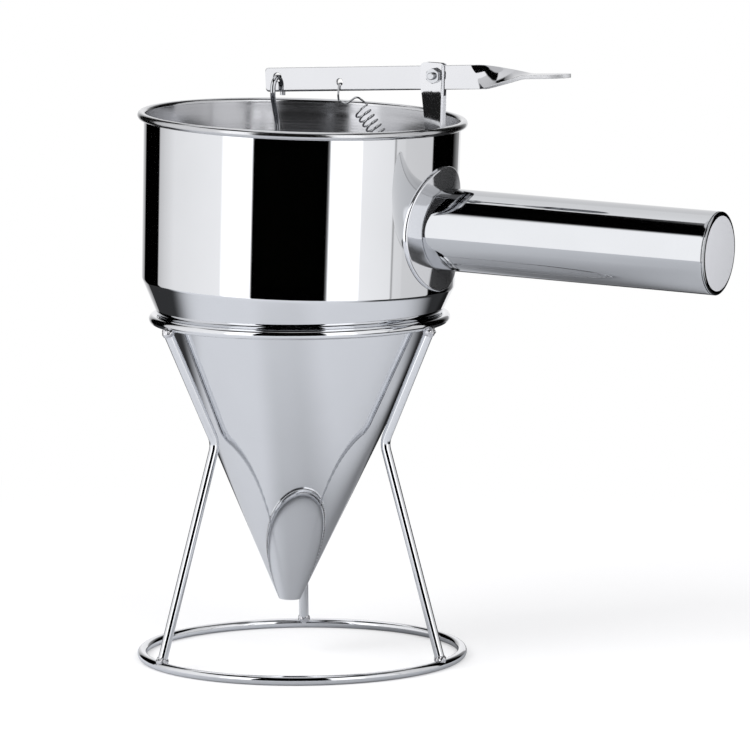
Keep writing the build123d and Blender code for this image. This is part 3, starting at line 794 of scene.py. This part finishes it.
def twist_line():
    """Places along the bar with its turn in radians, from the rates, scaled to a quarter turn in all."""
    start, end = (rate[0] for rate in (TWIST_RATES[0], TWIST_RATES[-1]))
    step = (end - start) / TWIST_STEPS
    line = [(start, 0.0)]
    for i in range(TWIST_STEPS):
        x = start + (i + 0.5) * step
        (a, low), (b, high) = next(pair for pair in zip(TWIST_RATES, TWIST_RATES[1:]) if x <= pair[1][0])
        line.append((x + step / 2, line[-1][1] + low + (high - low) * (x - a) / (b - a)))
    whole = line[-1][1]
    return [(x * MM, -math.pi / 2 * turn / whole) for x, turn in line]


def turn_at(line, x):
    """The turn at a place along the bar."""
    for (a, low), (b, high) in zip(line, line[1:]):
        if x < b:
            return low + (high - low) * max(0.0, x - a) / (b - a)
    return line[-1][1]


def cut_edges(mesh, line):
    """Give the bar's cut edges, tip and bores the second material."""
    for face in mesh.polygons:
        turn = turn_at(line, face.center.x)
        up = Vector((0, -math.sin(turn), math.cos(turn)))
        if abs(face.normal.x) > EDGE_FACING or abs(face.normal.dot(up)) > EDGE_FACING:
            face.material_index = 1


def drill(name, holes):
    """Cutters across the bar that leave each hole with a fine chamfer on both faces."""
    shape = bmesh.new()
    half = LEVER_THICKNESS / 2
    for x, z, radius in holes:
        r = radius * MM
        out = r + 2 * HOLE_CHAMFER
        line = [(out, -half - HOLE_CHAMFER), (r, -half + HOLE_CHAMFER)]
        line += [(r, half - HOLE_CHAMFER), (out, half + HOLE_CHAMFER)]
        place = Matrix.Translation((x * MM, 0, z * MM)) @ Matrix.Rotation(math.radians(90), 4, "X")
        ends = (line[0][1], line[-1][1])
        cutter = turned(name, [Vector(p) for p in line], place, 64, closed=False, poles=ends)
        shape.from_mesh(cutter)
    mesh = bpy.data.meshes.new(name)
    shape.to_mesh(mesh)
    shape.free()
    return new_object(name, mesh)


def lever(steel, edge_steel):
    """Flat bar on edge, quarter twist and flat paddle, with its holes bored."""
    twist = twist_line()
    straight = [-LEVER_INNER + LEVER_CORNER * (1 - math.cos(math.pi / 2 * i / 6)) for i in range(7)]
    straight += [-LEVER_INNER + LEVER_CORNER + LEVER_HOLD, LEVER_MIDDLE, twist[0][0] - LEVER_HOLD]
    stations = [(x, 0.0) for x in straight] + twist
    flat = [twist[-1][0] + LEVER_HOLD, PADDLE_TIP - PADDLE_ROUND - LEVER_HOLD]
    flat += [PADDLE_TIP - PADDLE_ROUND * (1 - math.sin(math.pi / 2 * i / 24)) for i in range(24)]
    stations += [(x, twist[-1][1]) for x in flat]
    rows = []
    for x, upper_turn in stations:
        row = []
        to_go = 1 - upper_turn / twist[-1][1]
        for p in bar_section(half_width(x)):
            lag = TWIST_LAG * (0.5 - p.y / LEVER_HEIGHT) * to_go
            turn = turn_at(twist, x - lag)
            across = p.x * math.cos(turn) - p.y * math.sin(turn)
            up = p.x * math.sin(turn) + p.y * math.cos(turn)
            row.append(Vector((x, across, up - PIVOT_ABOVE_CENTRE)))
        rows.append(row)
    poles = [Vector((x, 0, -PIVOT_ABOVE_CENTRE)) for x in (stations[0][0], PADDLE_TIP)]
    blank = new_object("lever_blank", grid_mesh("lever_blank", rows, close_rows=False, poles=poles))
    cutters = drill("lever_drill", LEVER_HOLES)
    bored = blank.modifiers.new("holes", "BOOLEAN")
    bored.operation = "DIFFERENCE"
    bored.solver = "EXACT"
    bored.object = cutters
    graph = bpy.context.evaluated_depsgraph_get()
    mesh = bpy.data.meshes.new_from_object(blank.evaluated_get(graph), depsgraph=graph)
    for spare in (blank, cutters):
        bpy.data.objects.remove(spare)
    mesh.name = "lever_bar"
    mesh.materials.clear()
    cut_edges(mesh, twist)
    mesh.transform(bar_place())
    piece = new_object("lever_bar", smoothed(mesh), steel, edge_steel)
    install(piece, "lever", "lever_steel", "thumb_lever")


def screw(zinc):
    """Domed head on the far side, shank through both ears and a threaded end past the nut."""
    place = LEANED @ Matrix.Translation(PIVOT) @ Matrix.Rotation(math.radians(90), 4, "X")
    head_top = -EAR_FACE - SCREW_HEAD_HEIGHT
    corner = Vector((SCREW_HEAD_RADIUS - SCREW_HEAD_DOME, head_top + SCREW_HEAD_DOME))
    dome = arc(corner, SCREW_HEAD_DOME, -90.0, 0.0, 8)
    head = [Vector((0.2 * MM, head_top))] + dome + [Vector((SCREW_HEAD_RADIUS, -EAR_FACE))]
    head = held(head, margin=0.1 * MM)
    line = [(p.x, p.y) for p in head] + [(SCREW_RADIUS, -EAR_FACE)]
    end = EAR_FACE + SCREW_END
    steps = 72
    line += [(SCREW_RADIUS, -EAR_FACE + (end + EAR_FACE) * i / steps) for i in range(1, steps + 1)]
    line.append((SCREW_RADIUS - SCREW_CHAMFER, end))
    count = 48
    rows = []
    for radius, along in line:
        row = []
        for i in range(count):
            turn = 2 * math.pi * i / count
            wave = (along / THREAD_PITCH - i / count) % 1.0
            cut = radius
            if along > EAR_FACE:
                groove = THREAD_DEPTH * abs(2 * wave - 1) if radius == SCREW_RADIUS else 0.0
                cut = min(radius - groove, SCREW_RADIUS - SCREW_CHAMFER + end - along)
            row.append(place @ Vector((cut * math.cos(turn), cut * math.sin(turn), along)))
        rows.append(row)
    poles = [place @ Vector((0, 0, z)) for z in (head_top, end)]
    mesh = grid_mesh("pivot_screw_threaded", rows, close_rows=False, poles=poles)
    piece = new_object("pivot_screw_threaded", smoothed(mesh, ROUND_ANGLE), zinc)
    install(piece, "funnel", "zinc_steel", "pivot_screw")


def plug(plastic):
    """Turned plug with softened edges, standing in the cone over the outlet."""
    def seat(radius):
        off = (SHEET + PLUG_GAP) / math.cos(CONE_HALF_ANGLE)
        return CONE_APEX_Z + (radius + off) / math.tan(CONE_HALF_ANGLE)

    top = seat(PLUG_RADIUS) + PLUG_BODY
    nose = seat(PLUG_NOSE_RADIUS)
    line = [Vector((0.3 * MM, nose)), Vector((PLUG_NOSE_RADIUS - PLUG_NOSE_EDGE, nose))]
    line.append(Vector((PLUG_NOSE_RADIUS, seat(PLUG_NOSE_RADIUS + PLUG_NOSE_EDGE / 2))))
    line.append(Vector((PLUG_RADIUS, seat(PLUG_RADIUS))))
    line += arc(Vector((PLUG_RADIUS - PLUG_EDGE, top - PLUG_EDGE)), PLUG_EDGE, 0.0, 90.0, 8)
    line.append(Vector((ROD_RADIUS + 0.3 * MM, top)))
    line = held(line, margin=0.2 * MM)
    mesh = turned("moulded_plug", line, LEANED, 96, closed=False, poles=(nose, top))
    piece = new_object("moulded_plug", smoothed(mesh), plastic)
    install(piece, "valve", "white_plastic", "valve_plug")


def spring(steel):
    """One wire: upper hook through the lever, close coil, lower hook through the bracket's tab."""
    run = SPRING_BOTTOM - SPRING_TOP
    down = run.normalized()
    across = Vector((-down.z, 0.0, down.x))
    side = down.cross(across)
    place = Matrix.Translation(SPRING_TOP) @ Matrix((across, side, down)).transposed().to_4x4()
    inward = place.inverted()
    rise = run.length / SPRING_TURNS
    turn = Vector((0.0, 2 * math.pi * SPRING_RADIUS, rise)).normalized() * SPRING_LEAD
    first = Vector((SPRING_RADIUS, 0.0, 0.0))
    last = Vector((SPRING_RADIUS, 0.0, run.length))
    upper = [inward @ (SPRING_HOLE + Vector(p) * MM) for p in UPPER_HOOK] + [first - turn, first]
    lower = [last, last + turn] + [inward @ (TAB_HOLE + Vector(p) * MM) for p in LOWER_HOOK]
    bends = [[MM * bend for bend in bends] for bends in (UPPER_BENDS, LOWER_BENDS)]
    line = bent_line("hooks", [(upper, bends[0]), (lower, bends[1])])
    tree, end, geometry = coil_tree()
    finish_tree(tree, end, geometry, steel)
    values = {
        "Wire radius": SPRING_WIRE, "Coil radius": SPRING_RADIUS,
        "Turns": float(SPRING_TURNS), "Length": run.length,
    }
    piece = grown("coil_spring", line, tree, values, steel, LEANED @ place)
    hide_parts("return_spring")
    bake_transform(piece)


def wires(chrome, rod_steel):
    """Both rings, the three legs and the valve rod."""
    tree, end, geometry = ring_tree()
    finish_tree(tree, end, geometry, chrome)
    rings = (("upper_ring", UPPER_RING_RADIUS, UPPER_RING_Z), ("base_ring", BASE_RING_RADIUS, WIRE))
    for node, radius, height in rings:
        values = {"Ring radius": radius, "Height": height, "Wire radius": WIRE}
        piece = grown(node + "_wire", bpy.data.meshes.new("empty"), tree, values, chrome)
        install(piece, "stand", "stand_wire", node)
    tree, end, geometry = wire_tree()
    finish_tree(tree, end, geometry, chrome)
    leg = [
        (UPPER_RING_RADIUS + LEG_TOP_OUTSET, 0, LEG_TOP_Z),
        (LEG_BEND_RADIUS, 0, LEG_BEND_Z),
        (BASE_RING_RADIUS, 0, WIRE),
    ]
    line = bent_line("leg", [(leg, [0.0, LEG_BEND_FILLET, 0.0])])
    values = {"Wire radius": WIRE, "Copies": LEG_COUNT, "First angle": math.radians(FIRST_LEG_ANGLE)}
    piece = grown("stand_legs", line, tree, values, chrome)
    install(piece, "stand", "stand_wire", "leg_rear", "leg_left", "leg_right")
    rod = [tuple(MM * value for value in point) for point in ROD_POINTS]
    line = bent_line("rod", [(rod, [MM * bend for bend in ROD_BENDS])])
    values = {"Wire radius": ROD_RADIUS, "Copies": 1, "First angle": 0.0}
    piece = grown("hooked_rod", line, tree, values, rod_steel, LEANED)
    install(piece, "valve", "spring_wire", "valve_rod")


def bead(name, node, weld):
    """A small uneven blob of weld metal in the node's own box."""
    low, high = (Vector(corner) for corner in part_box(node))
    middle = (low + high) / 2
    half = (high - low) / 2
    shape = bmesh.new()
    bmesh.ops.create_icosphere(shape, subdivisions=4, radius=1.0)
    for vert in shape.verts:
        lump = field.fractal(vert.co * BEAD_LUMPS + BEAD_SPREAD * middle.normalized(), 1.0, 2.0, 3)
        swell = BEAD_SIZE + BEAD_RELIEF * max(min(lump, 1.0), -1.0)
        vert.co = middle + Vector([swell * a * b for a, b in zip(vert.co, half)])
    mesh = bpy.data.meshes.new(name)
    shape.to_mesh(mesh)
    shape.free()
    return new_object(name, smoothed(mesh), weld)


def beads(weld):
    """Weld beads on the stand and behind the bracket."""
    for place in ("top", "foot"):
        for leg in ("rear", "left", "right"):
            node = f"weld_{place}_{leg}"
            install(bead(node + "_bead", node, weld), "stand", "weld", node)
    for side in ("near", "far"):
        node = "bracket_weld_" + side
        install(bead(node + "_bead", node, weld), "funnel", "weld", node)


def clevis(sheet, back_steel, zinc):
    """The folded bracket, satin on its back, and the nut, their sharp edges eased."""
    mesh = copied("bracket_sheet", "lever_bracket", SHEET_EDGE)
    piece = flat_faced(new_object("bracket_sheet", mesh, sheet, back_steel))
    for face in piece.data.polygons:
        face.material_index = 1 if face.normal.x > BACK_TURN else 0
    install(piece, "funnel", "brushed_steel", "lever_bracket")
    piece = flat_faced(new_object("hex_nut", copied("hex_nut", "pivot_nut", NUT_EDGE), zinc))
    install(piece, "funnel", "zinc_steel", "pivot_nut")


# ---------------------------------------------------------------- stage


def studio_world():
    """White to the camera, plain light for matt surfaces, and soft boxes with dark gaps in reflections."""
    world = bpy.data.worlds.new("studio")
    bpy.context.scene.world = world
    world.use_nodes = True
    tree = world.node_tree
    tree.nodes.clear()
    direction = add(tree, "ShaderNodeTexCoord").outputs["Generated"]
    axes = add(tree, "ShaderNodeSeparateXYZ", {0: direction}).outputs
    azimuth = math_node(tree, "ARCTAN2", axes[1], axes[0])
    around = remap(tree, azimuth, -math.pi, math.pi)
    height = math_node(tree, "ARCSINE", axes[2])
    walls = tree.nodes.new("ShaderNodeValToRGB")
    set_ramp(walls.color_ramp, WALL_CARDS)
    tree.links.new(around, walls.inputs[0])
    ceiling = tree.nodes.new("ShaderNodeValToRGB")
    set_ramp(ceiling.color_ramp, CEILING_CARDS)
    tree.links.new(around, ceiling.inputs[0])
    over = remap(tree, height, *CEILING_FROM, smooth=True)
    upper = remap(tree, height, *OVERHEAD_FROM, smooth=True)
    sky = add(
        tree,
        "ShaderNodeMix",
        {"Factor": upper, "A": ceiling.outputs[0], "B": OVERHEAD_COLOR},
        data_type="RGBA",
    ).outputs[2]
    cards = add(
        tree, "ShaderNodeMix", {"Factor": over, "A": walls.outputs[0], "B": sky}, data_type="RGBA"
    ).outputs[2]
    studio = add(tree, "ShaderNodeBackground", {"Color": cards, "Strength": CARD_STRENGTH})
    plain = add(tree, "ShaderNodeBackground", {"Color": (1, 1, 1, 1), "Strength": PLAIN_STRENGTH})
    white = add(tree, "ShaderNodeBackground", {"Color": (1, 1, 1, 1), "Strength": 1.0})
    rays = add(tree, "ShaderNodeLightPath").outputs
    shiny = add(
        tree, "ShaderNodeMixShader", {0: rays["Is Glossy Ray"], 1: plain.outputs[0], 2: studio.outputs[0]}
    )
    seen = add(
        tree, "ShaderNodeMixShader", {0: rays["Is Camera Ray"], 1: shiny.outputs[0], 2: white.outputs[0]}
    )
    out = tree.nodes.new("ShaderNodeOutputWorld")
    tree.links.new(seen.outputs[0], out.inputs["Surface"])


def set_ramp(ramp, cards):
    """Cards with slightly soft edges."""
    stops = []
    for i, (angle, value, _) in enumerate(cards):
        place = (angle + 180.0) / 360.0
        if i:
            stops.append((place - CARD_EDGE, cards[i - 1][2]))
        stops.append((place + CARD_EDGE, value))
    stops.append((1.0, cards[-1][2]))
    while len(ramp.elements) < len(stops):
        ramp.elements.new(0.5)
    for element, (place, value) in zip(ramp.elements, stops):
        element.position = min(max(place, 0.0), 1.0)
        element.color = (value, value, value * 1.01, 1.0)


def floor():
    """A pale disc that fades into white and keeps the object's shadow; in mirrors it shows painted shade."""
    mesh = bpy.data.meshes.new("floor")
    count = 128
    turns = [2 * math.pi * i / count for i in range(count)]
    rim = [(FLOOR_RADIUS * math.cos(t), FLOOR_RADIUS * math.sin(t), 0) for t in turns]
    mesh.from_pydata(rim, [], [tuple(range(count))])
    material, tree, shader, place = new_material("pale_floor")
    rays = add(tree, "ShaderNodeLightPath").outputs
    spot = add(tree, "ShaderNodeSeparateXYZ", {0: place}).outputs
    away = add(tree, "ShaderNodeVectorMath", {0: place}, operation="LENGTH").outputs["Value"]
    # Painted shade for mirrors only: darker towards the back along the axis, one level to the sides, nearly
    # black far out behind.
    depth = remap(tree, spot[1], *MIRRORED_DEPTH)
    off_axis = math_node(tree, "ABSOLUTE", math_node(tree, "SUBTRACT", spot[0], AXIS_X))
    wide = remap(tree, off_axis, *AXIS_EDGE, smooth=True)
    sides = {"Factor": wide, "A": depth, "B": MIRRORED_SIDE}
    depth = add(tree, "ShaderNodeMix", sides, data_type="FLOAT").outputs[0]
    beside = remap(tree, away, *PAINTED_SHADE_OUT, smooth=True)
    behind = remap(tree, spot[1], *PAINTED_SHADE_BEHIND, smooth=True)
    painted_shade = math_node(tree, "MULTIPLY_ADD", math_node(tree, "MULTIPLY", beside, behind), -PAINTED_SHADE, 1.0)
    level = math_node(tree, "MULTIPLY", depth, painted_shade)
    mirrored = add(tree, "ShaderNodeVectorMath", {0: MIRRORED_TINT, "Scale": level}, operation="SCALE")
    pale = add(
        tree,
        "ShaderNodeMix",
        {"Factor": rays["Is Glossy Ray"], "A": FLOOR_COLOR, "B": mirrored.outputs[0]},
        data_type="RGBA",
    )
    tree.links.new(pale.outputs[2], shader.inputs["Base Color"])
    shader.inputs["Roughness"].default_value = 0.9
    shader.inputs["Specular IOR Level"].default_value = 0.0
    fade = remap(tree, away, *FLOOR_FADE, smooth=True)
    lift = add(tree, "ShaderNodeEmission", {"Color": FLOOR_LIFT, "Strength": rays["Is Camera Ray"]})
    lit = add(tree, "ShaderNodeAddShader", {0: shader.outputs[0], 1: lift.outputs[0]})
    white = add(tree, "ShaderNodeEmission", {"Color": (1, 1, 1, 1)})
    seen_fade = math_node(tree, "MULTIPLY", fade, rays["Is Camera Ray"])
    mixed = add(tree, "ShaderNodeMixShader", {0: seen_fade, 1: lit.outputs[0], 2: white.outputs[0]})
    tree.links.new(mixed.outputs[0], tree.nodes["Material Output"].inputs["Surface"])
    new_object("floor", mesh, material)


def lamp(name, place, size, power):
    """A soft square lamp aimed at the object; mirrors see the soft boxes of the world in its place."""
    light = bpy.data.lights.new(name, "AREA")
    light.size = size
    light.energy = power
    lamp_object = bpy.data.objects.new(name, light)
    lamp_object.location = place
    lamp_object.rotation_euler = (LAMP_AIM - Vector(place)).to_track_quat("-Z", "Y").to_euler()
    lamp_object.visible_glossy = False
    lamp_object.visible_camera = False
    bpy.context.scene.collection.objects.link(lamp_object)


def camera():
    """The view from the front right, a little above."""
    back = Vector((
        math.cos(VIEW_ELEVATION) * math.sin(VIEW_AZIMUTH),
        -math.cos(VIEW_ELEVATION) * math.cos(VIEW_AZIMUTH),
        math.sin(VIEW_ELEVATION),
    ))
    aim = Vector((
        VIEW_AIM_SIDE * math.cos(VIEW_AZIMUTH), VIEW_AIM_SIDE * math.sin(VIEW_AZIMUTH), VIEW_AIM_Z
    ))
    lens = bpy.data.cameras.new("camera")
    lens.lens = LENS
    lens.sensor_width = SENSOR
    lens.clip_start = 0.1
    eye = bpy.data.objects.new("camera", lens)
    turn = back.to_track_quat("Z", "Y").to_matrix().to_4x4() @ Matrix.Rotation(VIEW_ROLL, 4, "Z")
    eye.matrix_world = Matrix.Translation(aim + VIEW_DISTANCE * back) @ turn
    bpy.context.scene.collection.objects.link(eye)
    bpy.context.scene.camera = eye


# ---------------------------------------------------------------- everything together

mirror = metal("mirror_polished_steel", (0.80, 0.81, 0.83), 0.02, 0.02)
inner_steel = metal(
    "brushed_inside", (0.525, 0.53, 0.55), 0.1, 0.12,
    scale=(0.02, 0.02, 3), grain=300.0, grain_depth=FINE_GRAIN, lean=LEAN, metallic=0.96, flare=0.12,
)
lip_steel = metal("rolled_lip_steel", (0.62, 0.625, 0.64), 0.12, 0.06)
handle_steel = metal("handle_polish", (0.55, 0.56, 0.575), 0.03, 0.03)
plate_steel = metal("saddle_polish", (0.80, 0.81, 0.84), 0.04, 0.04, metallic=0.92)
cut_steel = metal("cut_edge_steel", (0.60, 0.605, 0.62), 0.35, 0.1, metallic=0.5)
satin = metal("satin_cap", (0.80, 0.81, 0.85), 0.5, 0.1, metallic=0.25)
chrome = metal("chromed_wire", (0.82, 0.83, 0.85), 0.04, 0.04)
bar_steel = metal(
    "lever_bar_steel", (0.54, 0.545, 0.56), 0.05, 0.05, scale=(0.1, 1, 4), grain_depth=FINE_GRAIN
)
sheet_steel = metal(
    "bracket_steel", (0.56, 0.565, 0.58), 0.06, 0.05,
    scale=(1, 1, 0.1), grain_depth=FINE_GRAIN, metallic=0.98,
)
drawn = metal("drawn_wire", (0.62, 0.63, 0.65), 0.12, 0.1)
rod_steel = metal("rod_steel", (0.60, 0.61, 0.63), 0.03, 0.03)
zinc = metal("zinc_plated", (0.50, 0.51, 0.53), 0.12, 0.1)
weld_metal = metal("weld_bead", (0.70, 0.70, 0.72), 0.12, 0.15, waviness=0.05 * MM)

funnel(mirror, inner_steel, lip_steel)
flange(plate_steel)
tube(handle_steel)
end_cap(satin, handle_steel)
lever(bar_steel, cut_steel)
clevis(sheet_steel, satin, zinc)
screw(zinc)
wires(chrome, rod_steel)
plug(moulded("white_plastic"))
spring(drawn)
beads(weld_metal)
studio_world()
floor()
for lamp_values in LAMPS:
    lamp(*lamp_values)
camera()
bpy.context.scene.view_settings.view_transform = "Standard"
